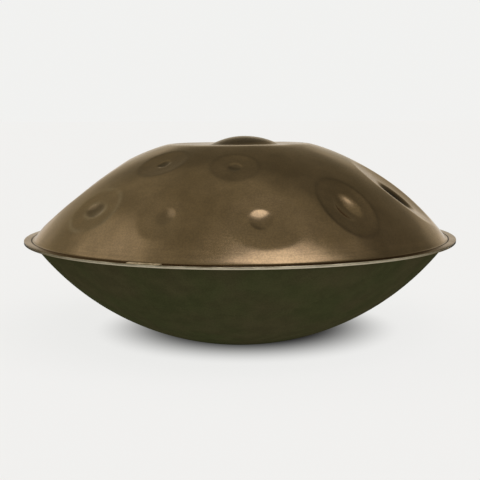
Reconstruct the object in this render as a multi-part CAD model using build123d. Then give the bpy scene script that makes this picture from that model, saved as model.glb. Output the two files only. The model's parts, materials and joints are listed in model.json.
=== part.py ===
from build123d import *
import os
from collections import namedtuple
from math import cos, radians, sin, sqrt

# A handpan: two spherical sheet-steel shells, glued together at a flat flange.
# The upper, ding shell carries a central domed note and a ring of flattened notes, each with
# a dimple, all hammered out of one sheet. The lower, gu shell has a round sound port whose lip
# is turned inwards, and the instrument rests on that lip.
# Frame: millimetres, +Z up, the origin on the ground under the port's centre. The high notes
# face -Y. An azimuth is measured from -Y towards +X, and a tilt is measured down from +Z, both
# in degrees about the ding shell's own sphere centre.

# Driving dimensions
rim_diameter = 530.0
sheet = 1.2             # thickness of each shell's steel
glue_line = 0.6
glue_setback = 0.3      # the glue stops this far inside the rim
ding_radius = 318.0     # outer radius of the ding shell's cap
ding_offset = 190.7     # from the flanges' parting plane down to that cap's sphere centre
gu_radius = 313.0       # outer radius of the gu shell's cap
gu_offset = 181.4       # from the parting plane up to that cap's sphere centre
foot_radius = 3.0       # bend from the cap into the flange
rim_edge_radius = 0.4   # sanded outer edge of each flange
port_diameter = 90.0    # inside the port's neck
lip_radius = 6.0        # outer radius of the port's lip, which the instrument rests on
neck_height = 9.0       # straight wall of the port's neck

label_azimuth = -22.0
label_length = 38.0
label_width = 7.5
label_thickness = 0.2
label_corner = 1.5

# Each note is the sheet flattened over an oval, length along the slope by width across it.
# bump is the diameter of its centre, and rise is that centre's height: below 0 for a dimple.
Note = namedtuple("Note", "azimuth tilt length width bump rise")
ding = Note(90.0, 0.6, 176, 176, 74, 9.6)
ring_notes = [
    Note(6.5, 42.4, 66, 74, 26, -3.6),
    Note(-22.0, 42.0, 68, 56, 25, -3.4),
    Note(35.0, 39.8, 94, 66, 31, -4.4),
    Note(-50.0, 41.6, 70, 76, 26, -3.8),
    Note(67.0, 38.6, 104, 86, 46, -6.0),
    Note(-86.0, 36.8, 114, 92, 44, -6.0),
    Note(107.0, 37.2, 112, 92, 46, -6.4),
    Note(-128.0, 36.8, 116, 96, 48, -6.6),
    Note(148.0, 36.8, 118, 98, 48, -6.8),
    Note(-170.0, 36.6, 122, 102, 50, -7.0),
]
shoulder_notes = [
    Note(-2.3, 26.4, 62, 56, 21, -3.2),
    Note(-40.0, 26.2, 52, 46, 19, -2.8),
]

# The hammering tools' margins
least_stretch = 1.04    # a rounder oval than this would need an endless barrel
block_margin = 20.0     # by how much a tool is wider than the oval that it cuts
block_depth = 60.0

# Worked out from the driving dimensions
rim_radius = rim_diameter / 2
port_radius = port_diameter / 2
lip_centre_r = port_radius + lip_radius
lip_drop = sqrt((gu_radius - lip_radius) ** 2 - lip_centre_r ** 2)
gu_centre_z = lip_radius + lip_drop
seam_z = gu_centre_z - gu_offset
ding_centre_z = seam_z - ding_offset
flange_top = seam_z + glue_line / 2 + sheet
flange_bottom = seam_z - glue_line / 2 - sheet
foot_height = glue_line / 2 + sheet + foot_radius
ding_foot_rise = ding_offset + foot_height
ding_foot_r = sqrt((ding_radius + foot_radius) ** 2 - ding_foot_rise ** 2)
gu_foot_rise = gu_offset + foot_height
gu_foot_r = sqrt((gu_radius + foot_radius) ** 2 - gu_foot_rise ** 2)


def note_plane(note):
    """The plane at the ding shell's sphere centre with Z through the note's middle and X downhill."""
    azimuth, tilt = radians(note.azimuth), radians(note.tilt)
    outward = (sin(tilt) * sin(azimuth), -sin(tilt) * cos(azimuth), cos(tilt))
    downhill = (cos(tilt) * sin(azimuth), -cos(tilt) * cos(azimuth), -sin(tilt))
    return Plane(origin=(0, 0, ding_centre_z), x_dir=downhill, z_dir=outward)


def flat_level(note, depth):
    """Height of a note's flat over the sphere centre, on the surface this deep in the sheet."""
    short_half = min(note.length, note.width) / 2
    return sqrt(ding_radius ** 2 - short_half ** 2) - depth


def flat_tool(note, depth):
    """What the hammer takes off the cap: all that is over a barrel which meets it in the oval."""
    long_half = max(note.length, note.width) / 2
    short_half = min(note.length, note.width) / 2
    stretch = max(long_half / short_half, least_stretch)
    barrel_radius = ding_radius / (1 - 1 / stretch ** 2) - depth
    barrel_turn = Rot(90, 0, 0) if note.length > note.width else Rot(0, 90, 0)
    level = flat_level(note, depth)
    block = Box(note.length + 2 * block_margin, note.width + 2 * block_margin, block_depth)
    barrel = barrel_turn * Cylinder(barrel_radius, 2 * short_half + 4 * block_margin)
    return Pos(0, 0, level) * block - Pos(0, 0, level - barrel_radius) * barrel


def bump_ball(note, depth):
    """The ball that shapes a note's centre: a dimple is cut with it, and a dome is its top."""
    rise = abs(note.rise)
    radius = ((note.bump / 2) ** 2 + rise ** 2) / (2 * rise)
    level = flat_level(note, 0)
    if note.rise < 0:
        return Pos(0, 0, level - rise + radius) * Rot(90, 0, 0) * Sphere(radius + depth)
    ball = Pos(0, 0, level + rise - radius) * Rot(90, 0, 0) * Sphere(radius - depth)
    block = Box(note.bump, note.bump, block_depth)
    return ball & Pos(0, 0, level - depth - sheet + block_depth / 2) * block


def cap_body(depth, corners):
    """The solid under the cap, this deep in the sheet, its section closed through the corners."""
    radius = ding_radius - depth
    bend_share = radius / (ding_radius + foot_radius)
    apex = (0, ding_centre_z + radius)
    bend_start = (ding_foot_r * bend_share, ding_centre_z + ding_foot_rise * bend_share)
    bend_end = (ding_foot_r, flange_top - depth)
    cap = RadiusArc(apex, bend_start, radius)
    bend = RadiusArc(bend_start, bend_end, -(foot_radius + depth))
    base = Polyline(bend_end, *corners, apex)
    section = Plane.XZ * make_face([*cap.edges(), *bend.edges(), *base.edges()])
    return revolve(section, Axis.Z)


def hammered(body, depth):
    """The body of a cap with every note hammered into it."""
    for note in [ding, *ring_notes, *shoulder_notes]:
        body -= note_plane(note) * flat_tool(note, depth)
        if note.rise < 0:
            body -= note_plane(note) * bump_ball(note, depth)
    return body + note_plane(ding) * bump_ball(ding, depth)


def round_rim(body, level):
    """The body with its outer edge at this level rounded, as it is sanded."""
    rim = [
        edge for edge in body.edges().filter_by(GeomType.CIRCLE)
        if abs(edge.radius - rim_radius) < glue_line / 2 and abs(edge.center().Z - level) < glue_line / 2
    ]
    return fillet(rim, rim_edge_radius)


def ding_shell():
    """The upper shell: one sheet with the ding and all the notes, down to its flange."""
    glue_face = flange_top - sheet
    outside_corners = [(rim_radius, flange_top), (rim_radius, glue_face), (0, glue_face)]
    inside_corners = [(ding_foot_r, glue_face - sheet), (0, glue_face - sheet)]
    outside = hammered(round_rim(cap_body(0, outside_corners), flange_top), 0)
    return outside - hammered(cap_body(sheet, inside_corners), sheet)


def gu_surface(depth):
    """The gu shell's section line, this deep in the sheet, from its flange in to the port's neck."""
    radius = gu_radius - depth
    bend_share = radius / (gu_radius + foot_radius)
    lip_share = radius / (gu_radius - lip_radius)
    flange_end = (gu_foot_r, flange_bottom + depth)
    bend_end = (gu_foot_r * bend_share, gu_centre_z - gu_foot_rise * bend_share)
    lip_start = (lip_centre_r * lip_share, gu_centre_z - lip_drop * lip_share)
    neck_start = (port_radius + depth, lip_radius)
    neck_end = (port_radius + depth, lip_radius + neck_height)
    return [
        *RadiusArc(flange_end, bend_end, -(foot_radius + depth)).edges(),
        *RadiusArc(bend_end, lip_start, radius).edges(),
        *RadiusArc(lip_start, neck_start, lip_radius - depth).edges(),
        *Line(neck_start, neck_end).edges(),
    ]


def gu_shell():
    """The lower shell: a plain cap with a flange, and the port's lip and neck turned inwards."""
    neck_top = lip_radius + neck_height
    rim = Polyline(
        (gu_foot_r, flange_bottom), (rim_radius, flange_bottom),
        (rim_radius, flange_bottom + sheet), (gu_foot_r, flange_bottom + sheet),
    )
    neck_rim = Line((port_radius, neck_top), (port_radius + sheet, neck_top))
    outline = [*rim.edges(), *gu_surface(0), *gu_surface(sheet), *neck_rim.edges()]
    shell = revolve(Plane.XZ * make_face(outline), Axis.Z)
    return round_rim(shell, flange_bottom)


def seam_glue():
    """The adhesive ring that holds the two flanges together."""
    inner = max(ding_foot_r, gu_foot_r) + glue_setback
    outer = rim_radius - glue_setback
    ring = Cylinder(outer, glue_line) - Cylinder(inner, glue_line)
    return Pos(0, 0, seam_z) * ring


def rim_label():
    """A thin curved plate on the flange, concentric with the rim."""
    middle_r = (ding_foot_r + rim_radius) / 2
    blank = Cylinder(middle_r + label_width / 2, label_thickness)
    blank -= Cylinder(middle_r - label_width / 2, label_thickness)
    plate = blank & Pos(0, -middle_r, 0) * Box(label_length, 4 * label_width, label_thickness)
    plate = fillet(plate.edges().filter_by(Axis.Z), label_corner)
    return Pos(0, 0, flange_top + label_thickness / 2) * Rot(0, 0, label_azimuth) * plate


nodes = {
    "ding_shell": ding_shell(),
    "gu_shell": gu_shell(),
    "seam_glue": seam_glue(),
    "rim_label": rim_label(),
}
os.makedirs("parts", exist_ok=True)
for name, solid in nodes.items():
    export_step(solid, f"parts/{name}.step")
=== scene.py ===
import json
from collections import namedtuple
from math import radians

import bpy
import numpy as np
from mathutils import Matrix, Vector, noise

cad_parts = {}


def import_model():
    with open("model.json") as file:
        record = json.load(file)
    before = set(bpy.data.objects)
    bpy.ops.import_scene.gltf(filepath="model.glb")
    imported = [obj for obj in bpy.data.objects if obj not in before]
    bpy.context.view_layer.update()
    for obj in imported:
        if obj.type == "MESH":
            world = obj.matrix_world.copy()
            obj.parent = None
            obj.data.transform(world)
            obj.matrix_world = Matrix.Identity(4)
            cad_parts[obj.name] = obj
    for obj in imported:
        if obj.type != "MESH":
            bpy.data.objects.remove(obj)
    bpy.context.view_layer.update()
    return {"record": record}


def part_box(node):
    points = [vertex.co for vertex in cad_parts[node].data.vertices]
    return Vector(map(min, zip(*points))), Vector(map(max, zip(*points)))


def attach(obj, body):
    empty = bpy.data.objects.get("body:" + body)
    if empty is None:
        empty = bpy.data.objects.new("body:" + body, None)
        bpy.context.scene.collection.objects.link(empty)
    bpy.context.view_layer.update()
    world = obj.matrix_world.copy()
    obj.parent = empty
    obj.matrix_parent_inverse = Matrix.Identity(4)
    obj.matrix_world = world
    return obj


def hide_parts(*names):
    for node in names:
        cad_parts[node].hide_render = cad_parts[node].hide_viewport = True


# A handpan on a white studio floor. The two shells are remade as smooth hammered sheets in the
# places and sizes of their CAD nodes; the glue and the label are the CAD nodes themselves.
# Sizes are in millimetres and angles in degrees unless a name says otherwise.

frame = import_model()
MM = 0.001

# Driving dimensions of the shells, as in the CAD model
SHEET = 1.2
DING_RADIUS = 318.0
DING_OFFSET = 190.7
GU_RADIUS = 313.0
GU_OFFSET = 181.4
FOOT_RADIUS = 3.0
RIM_EDGE_RADIUS = 0.4
LIP_RADIUS = 6.0
NECK_HEIGHT = 9.0

# Read from the frame
ding_low, ding_high = (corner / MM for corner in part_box("ding_shell"))
glue_low, glue_high = (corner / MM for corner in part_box("seam_glue"))
RIM_RADIUS = ding_high[0]
SEAM_Z = (glue_low[2] + glue_high[2]) / 2
FLANGE_TOP = glue_high[2] + SHEET
PORT_RADIUS = next(m["dims"]["r_mm"] for m in frame["record"]["mounts"] if m["name"] == "port")

# Worked out from them
FLANGE_BOTTOM = 2 * SEAM_Z - FLANGE_TOP
DING_CENTRE_Z = SEAM_Z - DING_OFFSET
DING_FOOT_TILT = np.arccos((FLANGE_TOP + FOOT_RADIUS - DING_CENTRE_Z) / (DING_RADIUS + FOOT_RADIUS))
DING_FOOT_R = (DING_RADIUS + FOOT_RADIUS) * np.sin(DING_FOOT_TILT)
GU_CENTRE_Z = SEAM_Z + GU_OFFSET
GU_FOOT_TILT = np.arccos((GU_CENTRE_Z - FLANGE_BOTTOM + FOOT_RADIUS) / (GU_RADIUS + FOOT_RADIUS))
GU_FOOT_R = (GU_RADIUS + FOOT_RADIUS) * np.sin(GU_FOOT_TILT)

# A note's field is an oval, length down the slope by width across it, sunk into the cap by depth at
# its middle. crease is how softly the oval's edge turns, and the number after it is how bright a line
# along that edge is, worn steel with a painted highlight, and below 0 a painted shade. In its middle
# is another oval of the same proportions, bump its mean diameter, which stands up by rise, below 0
# for a dimple. lip is how softly that one's edge turns, and the last number is how dark the painted
# shade in it is. A note without bump has a plain field, and a note without depth is only the middle
# of the one before it.
Note = namedtuple(
    "Note",
    "azimuth tilt length width depth crease rub bump rise lip soot",
    defaults=(1, 0.0, 0.1, 0.0),
)
NOTES = [
    Note(-90.0, 0.3, 176, 176, 13.8, 0.08, 0.42),
    Note(90.0, 1.1, 76, 76, 0.0, 0.1, 0.0, 88, 11.0, 0.06, 0.0),
    Note(7.2, 42.4, 78, 86, 3.0, 0.06, 0.0),
    Note(6.0, 42.4, 26, 26, 0.0, 0.1, 0.0, 29, -2.5, 0.08, 0.20),
    Note(-22.0, 42.0, 66, 60, 1.8, 0.10, 0.0, 25, -1.7, 0.04, 0.20),
    Note(35.0, 39.8, 92, 66, 4.0, 0.03, -0.20, 36, -3.6, 0.10, 0.0),
    Note(-50.0, 41.6, 66, 72, 2.2, 0.03, 0.10),
    Note(-50.0, 41.6, 24, 34, 0.0, 0.1, 0.12, 28, -1.8, 0.03, 0.45),
    Note(74.8, 37.4, 122, 94, 6.6, 0.02, 0.40),
    Note(72.5, 38.2, 56, 48, 0.0, 0.1, 0.0, 52, -6.0, 0.04, 0.97),
    Note(-86.0, 37.4, 122, 96, 9.2, 0.14, 0.0, 44, -6.0, 0.10, 0.5),
    Note(107.0, 37.2, 112, 92, 5.4, 0.12, 0.1, 46, -6.4, 0.10, 0.5),
    Note(-128.0, 36.8, 116, 96, 5.4, 0.12, 0.1, 48, -6.6, 0.10, 0.5),
    Note(148.0, 36.8, 118, 98, 5.4, 0.12, 0.1, 48, -6.8, 0.10, 0.5),
    Note(-170.0, 36.6, 122, 102, 5.4, 0.12, 0.1, 50, -7.0, 0.10, 0.5),
    Note(-2.3, 26.4, 60, 54, 1.8, 0.05, -0.15, 17, -1.2, 0.04, 0.45),
    Note(-40.0, 25.2, 62, 60, 2.4, 0.05, -0.17, 17, -1.6, 0.06, 0.65),
]
UNEVENNESS = 0.4        # height of the hammered sheet's waves
WAVE_LENGTH = 45.0
EDGE_LINE_WIDTH = 2.6         # half the width of the line of wear, painted highlight and painted shade along a field's edge
STREAK_STRETCH = 20.0   # how much longer than wide the streaks round the rim are
CAP_FADE = 2.0          # over these last degrees above the foot the notes and waves fade out

# Wear, tone and painted shade. A pair is the range over which a look changes, in millimetres unless
# it says so.
DOME_EDGE = (34.0, 44.0)        # radii at which the dark dome turns into the shell's brown
STREAKS_FROM = 0.90             # share of the foot's radius outside which the steel is streaked
# Painted shade in the corner at the upper shell's foot and on its flange
FOOT_SHADE_STARTS = (-0.2, 0.8)      # out from the foot
FOOT_SHADE_ENDS = (1.0, 2.6)
FOOT_SHADE_LEFT = 0.12               # share of the painted shade left on the rest of the flange
FOOT_SHADE_AT_FRONT = 0.5            # and on the flange's front
FOOT_SHADE_DARKNESS = 0.12           # share of the steel's own colour that shows through the painted shade
EDGE_TURN = (0.3, 0.1)          # in from the rim, in edge radii: where the bare edge starts

# Shares of the rim's radius in front of the middle, over which the front's looks fade
# over which the painted shade on the flange's front fades out
FOOT_SHADE_FRONT_FADE = (0.55, 0.30)
# The rim's bare edge and glue turn dull and then dark away from the front: painted shade
SIDE_SHADE_FADE = (1.0, 0.45)
BACK_SHADE_FADE = (0.50, 0.25)
BACK_SHADE_LEVEL = 0.35            # share of the edge's brightness left at the back, as painted shade

# Colours in linear light: the steel's, the glue's and the paper's own, and some that paint light and
# shade on them
DING_BROWN = (0.178, 0.120, 0.062)
DING_GOLD = (0.228, 0.157, 0.088)
DING_EDGE_TINT = (1.0, 0.86, 0.70)
# dulls reflections in the painted shade at the foot, on the bare edge and on the lower shell
DULL_REFLECTION_TINT = (0.12, 0.09, 0.06)
DOME_BLACK = (0.045, 0.028, 0.016)
DOME_BROWN = (0.095, 0.062, 0.036)
GU_OLIVE = (0.039, 0.041, 0.017)
GU_BROWN = (0.047, 0.042, 0.020)
GU_SHINE = 0.06         # share of the light that this dull steel mirrors
DING_COAT = 0.3         # weight of the clear oil film, left off in the painted shade at the foot
SANDED_ROUGHNESS = 0.3  # how much rougher than the sheet its bare edge is
BARE_STEEL = (0.52, 0.46, 0.34)
# worn steel with a painted highlight, along the fields' edges
POLISH_AND_SHEEN = (0.80, 0.72, 0.58)
DULL_STEEL = (0.20, 0.17, 0.11)
GLUE_CREAM = (0.54, 0.50, 0.39)
GLUE_GREY = (0.32, 0.30, 0.23)
# painted shade on the glue away from the front
GLUE_SHADED = (0.16, 0.14, 0.10)
LABEL_TAN = (0.48, 0.38, 0.25)
LABEL_BROWN = (0.20, 0.16, 0.09)

# The studio's light, as brightness in its directions
WHITE = (1.0, 1.0, 0.985, 1)
BACKDROP_WHITE = (0.882, 0.882, 0.869)
ROOM_COLOR = (1.08, 1.04, 0.80)
ROOM_LEVEL = 0.41
LAMP_COLOR = (1.0, 0.985, 1.0)
LAMP_LEVEL = 1.6        # where it is this bright, the light has the lamps' colour
# Soft oval patches of light: azimuth, elevation, half-width, half-height, softness, brightness
PATCHES = [
    (26.0, 44.0, 34.0, 27.5, 0.20, 2.9),
    (-94.0, 40.0, 23.0, 19.0, 0.40, 0.55),
    (10.0, 78.0, 40.0, 40.0, 0.60, 0.03),
    (150.0, 37.0, 50.0, 28.0, 0.50, -0.20),
    (0.0, 4.0, 60.0, 16.0, 0.50, -0.26),
]
# The wall behind and its brighter foot, as the steel mirrors them: patch and colour
WALLS = [
    ((180.0, 0.0, 62.0, 24.0, 0.15, 1.0), (0.52, 0.50, 0.42)),
    ((180.0, 0.0, 75.0, 9.0, 0.50, 1.0), (0.80, 0.76, 0.68)),
]
FLOOR_COLOR = (0.08, 0.075, 0.077, 1)
FLOOR_GLOW = 0.805
SHADOW_CENTRE = (8.0, 55.0)
SHADOW_REACH = (88.0, 205.0)    # out from that centre, where the floor's glow starts and is full

# Fineness of the meshes: points round the axis, and rings along each stretch of a section
SPOKES = 576
SHARP_ANGLE = 35.0      # faces that meet at more than this keep a crisp edge
CAP_RINGS = 118
BEND_RINGS = 6
LIP_RINGS = 10
INNER_LIP_RINGS = 8
EDGE_RINGS = 4
INNER_STEP = 4          # the unseen inner face keeps one ring in this many

# The camera, in the plane through the middle, and the floor
SENSOR = 36.0
LENS = 71.92            # focal length on that width of sensor
CAMERA_DISTANCE = 1196.0
CAMERA_OVER_SEAM = 148.0
CAMERA_PITCH = -7.326
CAMERA_ROLL = 0.209
FLOOR_REACH = 60000.0   # from the middle to the floor's sides


def softplus(value, softness):
    """The value where it is positive and 0 where it is negative, with a bend this soft between."""
    return softness * np.logaddexp(0.0, value / softness)


def note_ovals(note, directions):
    """How far out unit directions are in a note's field and bump, squared: 1 is at the edge."""
    turn = Matrix.Rotation(radians(note.azimuth), 3, "Z")
    turn @= Matrix.Rotation(radians(note.tilt), 3, "X")
    outward = np.array(turn @ Vector((0, 0, 1)))
    downhill = np.array(turn @ Vector((0, -1, 0)))
    across = np.array(turn @ Vector((1, 0, 0)))
    ahead = np.maximum(directions @ outward, 0.2)
    down = DING_RADIUS * (directions @ downhill) / ahead
    side = DING_RADIUS * (directions @ across) / ahead
    field = (2 * down / note.length) ** 2 + (2 * side / note.width) ** 2
    return field, field * note.length * note.width / note.bump ** 2


def hammered_rise(directions):
    """Height of the ding shell over its sphere, for unit directions from the sphere's centre."""
    rise = np.zeros(len(directions))
    for note in NOTES:
        field, bump = note_ovals(note, directions)
        rise -= note.depth * softplus(1 - field, note.crease)
        rise += note.rise * softplus(1 - bump, note.lip)
    return rise


def wear_and_shading(directions):
    """Shares of a bright line along the fields' edges, worn steel with a painted highlight, and of
    painted shade inside the dimples and along dark edges.
    """
    bright = np.zeros(len(directions))
    soot = np.zeros(len(directions))
    for note in NOTES:
        field, bump = note_ovals(note, directions)
        apart = (np.sqrt(field) - 1) * (note.length + note.width) / 4
        line = note.rub * np.exp(-(apart / EDGE_LINE_WIDTH) ** 2)
        bright = np.maximum(bright, line)
        soot = np.maximum(soot, -line)
        soot = np.maximum(soot, note.soot * np.clip(2 * (1 - bump), 0, 1))
    return bright * (1 - soot) ** 2, soot


def waves(directions):
    """Slight unevenness left by the hammer, for unit directions."""
    scale = DING_RADIUS / WAVE_LENGTH
    return UNEVENNESS * np.array([noise.noise(Vector(d) * scale) for d in directions])


def ring_points(radius, height):
    """A level ring of points, one per spoke."""
    angle = np.linspace(0, 2 * np.pi, SPOKES, endpoint=False)
    level = np.full(SPOKES, height)
    return np.column_stack([radius * np.sin(angle), -radius * np.cos(angle), level])


def arc(centre_r, centre_z, radius, start, end, count):
    """Points (r, z) on an arc; angles are measured from +Z towards +r."""
    angles = np.linspace(start, end, count)
    return [(centre_r + radius * np.sin(a), centre_z + radius * np.cos(a)) for a in angles]


def face_normals(rings):
    """Outward unit normals of stacked rings of points."""
    down = np.gradient(rings, axis=0)
    side = np.roll(rings, -1, axis=1) - np.roll(rings, 1, axis=1)
    normals = np.cross(down, side)
    return normals / np.linalg.norm(normals, axis=2, keepdims=True)


def skin_object(name, rings, first_pole=None, last_pole=None, closed=False):
    """A mesh of stacked rings of points, with a fan to a pole at either end, or closed on itself."""
    verts = [tuple(p) for ring in rings for p in ring]
    faces = []
    pairs = list(zip(range(len(rings) - 1), range(1, len(rings))))
    if closed:
        pairs.append((len(rings) - 1, 0))
    for pair in pairs:
        upper, lower = (ring * SPOKES for ring in pair)
        for k in range(SPOKES):
            n = (k + 1) % SPOKES
            faces.append((upper + k, lower + k, lower + n, upper + n))
    if first_pole is not None:
        verts.append(tuple(first_pole))
        faces += [(len(verts) - 1, k, (k + 1) % SPOKES) for k in range(SPOKES)]
    if last_pole is not None:
        verts.append(tuple(last_pole))
        base = (len(rings) - 1) * SPOKES
        faces += [(len(verts) - 1, base + (k + 1) % SPOKES, base + k) for k in range(SPOKES)]
    mesh = bpy.data.meshes.new(name)
    mesh.from_pydata([tuple(c * MM for c in v) for v in verts], [], faces)
    mesh.shade_smooth()
    mesh.set_sharp_from_angle(angle=radians(SHARP_ANGLE))
    mesh.validate()
    piece = bpy.data.objects.new(name, mesh)
    bpy.context.scene.collection.objects.link(piece)
    return piece


def ding_piece():
    """The upper shell as one hammered sheet."""
    centre = np.array([0, 0, DING_CENTRE_Z])
    cap = []
    for tilt in np.linspace(0, DING_FOOT_TILT, CAP_RINGS + 1)[1:]:
        unit = ring_points(np.sin(tilt), np.cos(tilt))
        fade = np.clip((DING_FOOT_TILT - tilt) / radians(CAP_FADE), 0, 1)
        height = hammered_rise(unit) + waves(unit)
        cap.append(centre + unit * (DING_RADIUS + fade * height)[:, None])
    up = np.array([[0.0, 0.0, 1.0]])
    top = centre + up * (DING_RADIUS + hammered_rise(up) + waves(up))[:, None]
    foot_z = FLANGE_TOP + FOOT_RADIUS
    bend = arc(DING_FOOT_R, foot_z, FOOT_RADIUS, DING_FOOT_TILT + np.pi, np.pi, BEND_RINGS + 1)[1:]
    flange_radii = ((DING_FOOT_R + RIM_RADIUS) / 2, RIM_RADIUS - RIM_EDGE_RADIUS)
    flange = bend + [(r, FLANGE_TOP) for r in flange_radii]
    outer = np.array(cap + [ring_points(r, z) for r, z in flange])
    inner = outer - SHEET * face_normals(outer)
    inner[-1, :, 2] = FLANGE_TOP - SHEET
    edge_z = FLANGE_TOP - RIM_EDGE_RADIUS
    edge = arc(RIM_RADIUS - RIM_EDGE_RADIUS, edge_z, RIM_EDGE_RADIUS, 0, np.pi / 2, EDGE_RINGS)[1:]
    edge.append((RIM_RADIUS, FLANGE_TOP - SHEET))
    bend_start = len(cap) - 1
    kept = list(range(len(outer) - 1, bend_start, -1)) + list(range(bend_start, 0, -INNER_STEP))
    rings = list(outer) + [ring_points(r, z) for r, z in edge] + [inner[k] for k in kept]
    bottom = top[0] - np.array([0, 0, SHEET])
    piece = skin_object("ding_sheet", rings, top[0], bottom)
    places = np.array([v.co for v in piece.data.vertices]) / MM - centre
    places /= np.linalg.norm(places, axis=1, keepdims=True)
    # Each point holds its share of the fields' bright edge line, worn steel with a painted highlight,
    # and of painted shade
    for kind, shares in zip(("wear_and_painted_light", "soot"), wear_and_shading(places)):
        piece.data.attributes.new(kind, "FLOAT", "POINT").data.foreach_set("value", shares)
    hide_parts("ding_shell")
    return piece


def gu_section():
    """The lower shell's closed section, (r, z), from its rim in along the outside and back."""
    lip_r = PORT_RADIUS + LIP_RADIUS
    lip_tilt = np.arcsin(lip_r / (GU_RADIUS - LIP_RADIUS))
    foot_z = FLANGE_BOTTOM - FOOT_RADIUS
    edge_z = FLANGE_BOTTOM + RIM_EDGE_RADIUS
    neck_top = LIP_RADIUS + NECK_HEIGHT
    cap_start = np.pi - GU_FOOT_TILT
    cap_end = np.pi - lip_tilt
    section = arc(RIM_RADIUS - RIM_EDGE_RADIUS, edge_z, RIM_EDGE_RADIUS, np.pi / 2, np.pi, EDGE_RINGS)
    section += arc(GU_FOOT_R, foot_z, FOOT_RADIUS, 0, -GU_FOOT_TILT, BEND_RINGS)
    section += arc(0, GU_CENTRE_Z, GU_RADIUS, cap_start, cap_end, CAP_RINGS // 2)[1:]
    section += arc(lip_r, LIP_RADIUS, LIP_RADIUS, cap_end, 1.5 * np.pi, LIP_RINGS)[1:]
    section.append((PORT_RADIUS, neck_top - SHEET / 3))
    section.append((PORT_RADIUS + SHEET / 3, neck_top))
    section.append((PORT_RADIUS + SHEET, neck_top))
    section += arc(lip_r, LIP_RADIUS, LIP_RADIUS - SHEET, 1.5 * np.pi, cap_end, INNER_LIP_RINGS)
    section += arc(0, GU_CENTRE_Z, GU_RADIUS - SHEET, cap_end, cap_start, CAP_RINGS // 3)[1:]
    section += arc(GU_FOOT_R, foot_z, FOOT_RADIUS + SHEET, -GU_FOOT_TILT, 0, BEND_RINGS)[1:]
    section.append((RIM_RADIUS, FLANGE_BOTTOM + SHEET))
    return section


def gu_piece():
    """The lower shell as one smooth sheet."""
    rings = [ring_points(r, z) for r, z in gu_section()]
    piece = skin_object("gu_sheet", rings, closed=True)
    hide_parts("gu_shell")
    return piece


def join(tree, source, target):
    """A link from an output to an input."""
    tree.links.new(target, source)


def feed(tree, socket, value):
    """Joins an output to a socket, or sets the socket to a number or a colour."""
    if isinstance(value, bpy.types.NodeSocket):
        join(tree, value, socket)
    elif isinstance(value, tuple):
        socket.default_value = (*value[:3], 1)
    else:
        socket.default_value = value


def maths(tree, operation, first, second=0.0):
    """A Math node's output; first and second are numbers or outputs."""
    made = tree.nodes.new("ShaderNodeMath")
    made.operation = operation
    feed(tree, made.inputs[0], first)
    feed(tree, made.inputs[1], second)
    return made.outputs[0]


def smooth_range(tree, value, low, high, start=0.0, end=1.0):
    """A Map Range node's output: start at low, end at high, and a smooth step between."""
    made = tree.nodes.new("ShaderNodeMapRange")
    made.interpolation_type = "SMOOTHSTEP"
    join(tree, value, made.inputs["Value"])
    for key, number in (("From Min", low), ("From Max", high), ("To Min", start), ("To Max", end)):
        made.inputs[key].default_value = number
    return made.outputs["Result"]


def mixed(tree, share, first, second):
    """A colour between two, which are colours or outputs."""
    made = tree.nodes.new("ShaderNodeMix")
    made.data_type = "RGBA"
    feed(tree, made.inputs["Factor"], share)
    feed(tree, made.inputs[6], first)
    feed(tree, made.inputs[7], second)
    return made.outputs[2]


def dimmed(tree, color, level):
    """A colour times a number, which is a number or an output."""
    made = tree.nodes.new("ShaderNodeVectorMath")
    made.operation = "SCALE"
    join(tree, color, made.inputs[0])
    feed(tree, made.inputs["Scale"], level)
    return made.outputs[0]


def spots(tree, place, size, low, high, detail=2.0):
    """Soft random spots of about this size in millimetres, from low to high."""
    made = tree.nodes.new("ShaderNodeTexNoise")
    join(tree, place, made.inputs["Vector"])
    made.inputs["Scale"].default_value = 1 / (size * MM)
    made.inputs["Detail"].default_value = detail
    return smooth_range(tree, made.outputs["Fac"], 0.32, 0.68, low, high)


Spot = namedtuple("Spot", "place radius depth unrolled")


def spot(tree):
    """Where a point is: its place, distance from the axis, Y, and place unrolled about the axis."""
    place = tree.nodes.new("ShaderNodeTexCoord").outputs["Object"]
    parts = tree.nodes.new("ShaderNodeSeparateXYZ")
    join(tree, place, parts.inputs[0])
    x, y, z = parts.outputs
    squares = (maths(tree, "MULTIPLY", x, x), maths(tree, "MULTIPLY", y, y))
    radius = maths(tree, "SQRT", maths(tree, "ADD", *squares))
    angle = maths(tree, "ARCTAN2", x, maths(tree, "MULTIPLY", y, -1.0))
    unrolled = tree.nodes.new("ShaderNodeCombineXYZ")
    join(tree, maths(tree, "MULTIPLY", angle, RIM_RADIUS * MM), unrolled.inputs[0])
    join(tree, maths(tree, "MULTIPLY", radius, STREAK_STRETCH), unrolled.inputs[1])
    join(tree, maths(tree, "MULTIPLY", z, STREAK_STRETCH), unrolled.inputs[2])
    return Spot(place, radius, y, unrolled.outputs[0])


def new_material(name):
    """A material, its node tree and its Principled shader."""
    material = bpy.data.materials.new(name)
    material.use_nodes = True
    return material, material.node_tree, material.node_tree.nodes["Principled BSDF"]


def share(tree, name):
    """A share that a mesh holds at each of its points."""
    made = tree.nodes.new("ShaderNodeAttribute")
    made.attribute_name = name
    return made.outputs["Fac"]


def bare_edge(tree, at):
    """1 on a flange's sanded outer edge and 0 elsewhere."""
    low, high = ((RIM_RADIUS - turn * RIM_EDGE_RADIUS) * MM for turn in EDGE_TURN)
    return smooth_range(tree, at.radius, low, high)


def front_fade(tree, at, fade, start=0.0, end=1.0):
    """A number that changes from the front of the rim backwards, over this range of shares."""
    low, high = (-part * RIM_RADIUS * MM for part in fade)
    return smooth_range(tree, at.depth, low, high, start, end)


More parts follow.
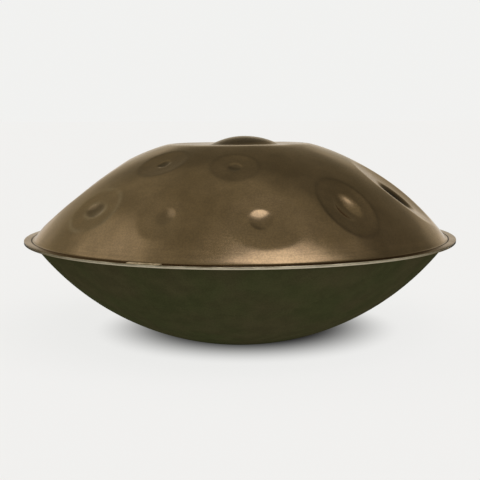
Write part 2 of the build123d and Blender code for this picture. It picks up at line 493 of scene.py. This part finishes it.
def wear_and_painted_light(tree, at, bright, dull):
    """The bright colour at the front of the rim, dull and then dark behind it: painted shade away
    from the front.
    """
    shaded_edge = mixed(tree, front_fade(tree, at, SIDE_SHADE_FADE), bright, dull)
    return dimmed(tree, shaded_edge, front_fade(tree, at, BACK_SHADE_FADE, 1.0, BACK_SHADE_LEVEL))


def foot_painted_shade(tree, at):
    """The share of painted shade in the corner at the upper shell's foot and on its flange."""
    starts = smooth_range(tree, at.radius, *((DING_FOOT_R + apart) * MM for apart in FOOT_SHADE_STARTS))
    ends = [(DING_FOOT_R + apart) * MM for apart in FOOT_SHADE_ENDS]
    fading = smooth_range(tree, at.radius, *ends, 1.0, FOOT_SHADE_LEFT)
    front_share = front_fade(tree, at, FOOT_SHADE_FRONT_FADE, FOOT_SHADE_AT_FRONT, 0.0)
    return maths(tree, "MULTIPLY", starts, maths(tree, "MAXIMUM", fading, front_share))


def ding_material():
    """Heat-tinted golden-brown steel with a dark dome, a bare edge, painted shade at the foot and in
    the dimples, and worn, painted-bright lines along the fields' edges.
    """
    material, tree, shader = new_material("ding_steel")
    at = spot(tree)
    foot = DING_FOOT_R * MM
    foot_shade = foot_painted_shade(tree, at)
    edge = bare_edge(tree, at)
    tone = mixed(tree, spots(tree, at.place, 70, 0.0, 1.0, 4.0), DING_BROWN, DING_GOLD)
    tone = dimmed(tree, tone, spots(tree, at.place, 18, 0.94, 1.06))
    tone = dimmed(tree, tone, spots(tree, at.place, 1.8, 0.92, 1.08, 0.0))
    streaks = dimmed(tree, tone, spots(tree, at.unrolled, 60, 0.92, 1.08))
    tone = mixed(tree, smooth_range(tree, at.radius, STREAKS_FROM * foot, foot), tone, streaks)
    # Painted shade in the foot's corner and on the flange
    tone = dimmed(tree, tone, smooth_range(tree, foot_shade, 0.0, 1.0, 1.0, FOOT_SHADE_DARKNESS))
    dome = mixed(tree, spots(tree, at.unrolled, 60, 0.0, 1.0), DOME_BLACK, DOME_BROWN)
    tone = mixed(tree, smooth_range(tree, at.radius, *(r * MM for r in DOME_EDGE)), dome, tone)
    # Painted shade in the dimples and along dark field edges, then the bright edge lines: worn steel
    # with a painted highlight
    tone = dimmed(tree, tone, maths(tree, "SUBTRACT", 1.0, share(tree, "soot")))
    patchy = maths(tree, "MULTIPLY", share(tree, "wear_and_painted_light"), spots(tree, at.place, 22, 0.3, 1.2))
    tone = mixed(tree, patchy, tone, POLISH_AND_SHEEN)
    bare = mixed(tree, spots(tree, at.place, 25, 0.0, 1.0), DULL_STEEL, BARE_STEEL)
    # The bare edge, with painted shade away from the front
    shaded_edge = wear_and_painted_light(tree, at, bare, DULL_STEEL)
    join(tree, mixed(tree, edge, tone, shaded_edge), shader.inputs["Base Color"])
    rough = spots(tree, at.place, 40, 0.15, 0.23, 3.0)
    rough = maths(tree, "ADD", rough, maths(tree, "MULTIPLY", edge, SANDED_ROUGHNESS))
    join(tree, rough, shader.inputs["Roughness"])
    shader.inputs["Metallic"].default_value = 1.0
    # Reflections are dulled, and the oil film is left off, in the painted shade at the foot;
    # reflections on the bare edge are dulled too
    tint = mixed(tree, maths(tree, "MAXIMUM", foot_shade, edge), DING_EDGE_TINT, DULL_REFLECTION_TINT)
    join(tree, tint, shader.inputs["Specular Tint"])
    coat = smooth_range(tree, foot_shade, 0.0, 1.0, DING_COAT, 0.0)
    join(tree, coat, shader.inputs["Coat Weight"])
    shader.inputs["Coat Roughness"].default_value = 0.25
    return material


def gu_material():
    """Dark olive steel, mottled, with a bare edge."""
    material, tree, shader = new_material("gu_steel")
    at = spot(tree)
    tone = mixed(tree, spots(tree, at.place, 60, 0.0, 1.0, 3.0), GU_OLIVE, GU_BROWN)
    tone = dimmed(tree, tone, spots(tree, at.place, 16, 0.93, 1.07))
    tone = dimmed(tree, tone, spots(tree, at.place, 1.8, 0.94, 1.06, 0.0))
    edge = bare_edge(tree, at)
    # The bare edge, with painted shade away from the front
    shaded_edge = wear_and_painted_light(tree, at, BARE_STEEL, DULL_STEEL)
    join(tree, mixed(tree, edge, tone, shaded_edge), shader.inputs["Base Color"])
    join(tree, maths(tree, "MAXIMUM", edge, GU_SHINE), shader.inputs["Metallic"])
    join(tree, spots(tree, at.place, 30, 0.36, 0.50, 3.0), shader.inputs["Roughness"])
    shader.inputs["Specular IOR Level"].default_value = 0.0
    shader.inputs["Specular Tint"].default_value = (*DULL_REFLECTION_TINT, 1)
    return material


def glue_material():
    """Cream adhesive with grey spots, and painted shade that darkens it away from the front."""
    material, tree, shader = new_material("glue")
    at = spot(tree)
    clean = mixed(tree, spots(tree, at.place, 5, 0.0, 1.0, 3.0), GLUE_CREAM, GLUE_GREY)
    join(tree, wear_and_painted_light(tree, at, clean, GLUE_SHADED), shader.inputs["Base Color"])
    shader.inputs["Roughness"].default_value = 0.6
    return material


def label_material():
    """Tan paper, mottled, with nothing written on it."""
    material, tree, shader = new_material("label")
    at = spot(tree)
    tone = mixed(tree, spots(tree, at.place, 4, 0.0, 1.0, 3.0), LABEL_TAN, LABEL_BROWN)
    join(tree, tone, shader.inputs["Base Color"])
    shader.inputs["Roughness"].default_value = 0.5
    shader.inputs["Specular IOR Level"].default_value = 0.1
    return material


def floor():
    """A plain pale floor. It glows, and less so close under the instrument, as its soft shadow."""
    reach = FLOOR_REACH * MM
    mesh = bpy.data.meshes.new("floor")
    corners = [(-reach, -reach, 0), (reach, -reach, 0), (reach, reach, 0), (-reach, reach, 0)]
    mesh.from_pydata(corners, [], [(0, 1, 2, 3)])
    plane = bpy.data.objects.new("floor", mesh)
    bpy.context.scene.collection.objects.link(plane)
    material, tree, shader = new_material("white_floor")
    place = tree.nodes.new("ShaderNodeTexCoord").outputs["Object"]
    apart = tree.nodes.new("ShaderNodeVectorMath")
    apart.operation = "DISTANCE"
    join(tree, place, apart.inputs[0])
    apart.inputs[1].default_value = (SHADOW_CENTRE[0] * MM, SHADOW_CENTRE[1] * MM, 0)
    near, far = (radius * MM for radius in SHADOW_REACH)
    shader.inputs["Base Color"].default_value = FLOOR_COLOR
    shader.inputs["Roughness"].default_value = 1.0
    shader.inputs["Specular IOR Level"].default_value = 0.0
    shader.inputs["Emission Color"].default_value = WHITE
    glow = smooth_range(tree, apart.outputs["Value"], near, far, 0.0, FLOOR_GLOW)
    join(tree, glow, shader.inputs["Emission Strength"])
    mesh.materials.append(material)


def camera():
    """The camera, in front of the instrument and a little above its rim."""
    data = bpy.data.cameras.new("camera")
    data.sensor_width = SENSOR
    data.lens = LENS
    eye = bpy.data.objects.new("camera", data)
    pitch, roll = radians(CAMERA_PITCH), radians(CAMERA_ROLL)
    place = Matrix.Translation((0, -CAMERA_DISTANCE * MM, (SEAM_Z + CAMERA_OVER_SEAM) * MM))
    look = Matrix.Rotation(radians(90) + pitch, 4, "X") @ Matrix.Rotation(-roll, 4, "Z")
    eye.matrix_world = place @ look
    bpy.context.scene.collection.objects.link(eye)
    bpy.context.scene.camera = eye


def towards(azimuth, elevation):
    """The unit vector at this azimuth, from -Y towards +X, and elevation."""
    level = np.cos(radians(elevation))
    side = (level * np.sin(radians(azimuth)), -level * np.cos(radians(azimuth)))
    return Vector((*side, np.sin(radians(elevation))))


def along(tree, direction, axis):
    """How far a direction goes along an axis."""
    made = tree.nodes.new("ShaderNodeVectorMath")
    made.operation = "DOT_PRODUCT"
    join(tree, direction, made.inputs[0])
    made.inputs[1].default_value = axis
    return made.outputs["Value"]


def soft_patch(tree, direction, azimuth, elevation, half_width, half_height, softness, brightness):
    """Light from a soft oval patch, its half sizes in degrees."""
    ahead = maths(tree, "MAXIMUM", along(tree, direction, towards(azimuth, elevation)), 0.01)
    sideways = towards(azimuth + 90, 0)
    upwards = towards(azimuth, elevation + 90)
    squares = []
    for axis, half in ((sideways, half_width), (upwards, half_height)):
        out = maths(tree, "DIVIDE", along(tree, direction, axis), ahead)
        out = maths(tree, "DIVIDE", out, np.tan(radians(half)))
        squares.append(maths(tree, "MULTIPLY", out, out))
    oval = maths(tree, "ADD", *squares)
    return smooth_range(tree, oval, 1 - softness, 1 + softness, brightness, 0.0)


def world():
    """A studio: a dim room with soft lights in it, and a white backdrop at the horizon."""
    made = bpy.data.worlds.new("studio")
    made.use_nodes = True
    tree = made.node_tree
    direction = tree.nodes.new("ShaderNodeTexCoord").outputs["Generated"]
    light = ROOM_LEVEL
    for patch in PATCHES:
        light = maths(tree, "ADD", light, soft_patch(tree, direction, *patch))
    lamp_share = smooth_range(tree, light, ROOM_LEVEL, LAMP_LEVEL)
    room = dimmed(tree, mixed(tree, lamp_share, ROOM_COLOR, LAMP_COLOR), light)
    for patch, wall_color in WALLS:
        room = mixed(tree, soft_patch(tree, direction, *patch), room, wall_color)
    seen = tree.nodes.new("ShaderNodeLightPath").outputs["Is Camera Ray"]
    color = mixed(tree, seen, room, BACKDROP_WHITE)
    join(tree, color, tree.nodes["Background"].inputs["Color"])
    bpy.context.scene.world = made


ding = ding_piece()
gu = gu_piece()
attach(ding, "root")
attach(gu, "root")
materials = {
    ding.name: ding_material(),
    gu.name: gu_material(),
    "seam_glue": glue_material(),
    "rim_label": label_material(),
}
for name, material in materials.items():
    mesh = bpy.data.objects[name].data
    mesh.materials.clear()
    mesh.materials.append(material)
floor()
camera()
world()
bpy.context.scene.view_settings.view_transform = "Standard"
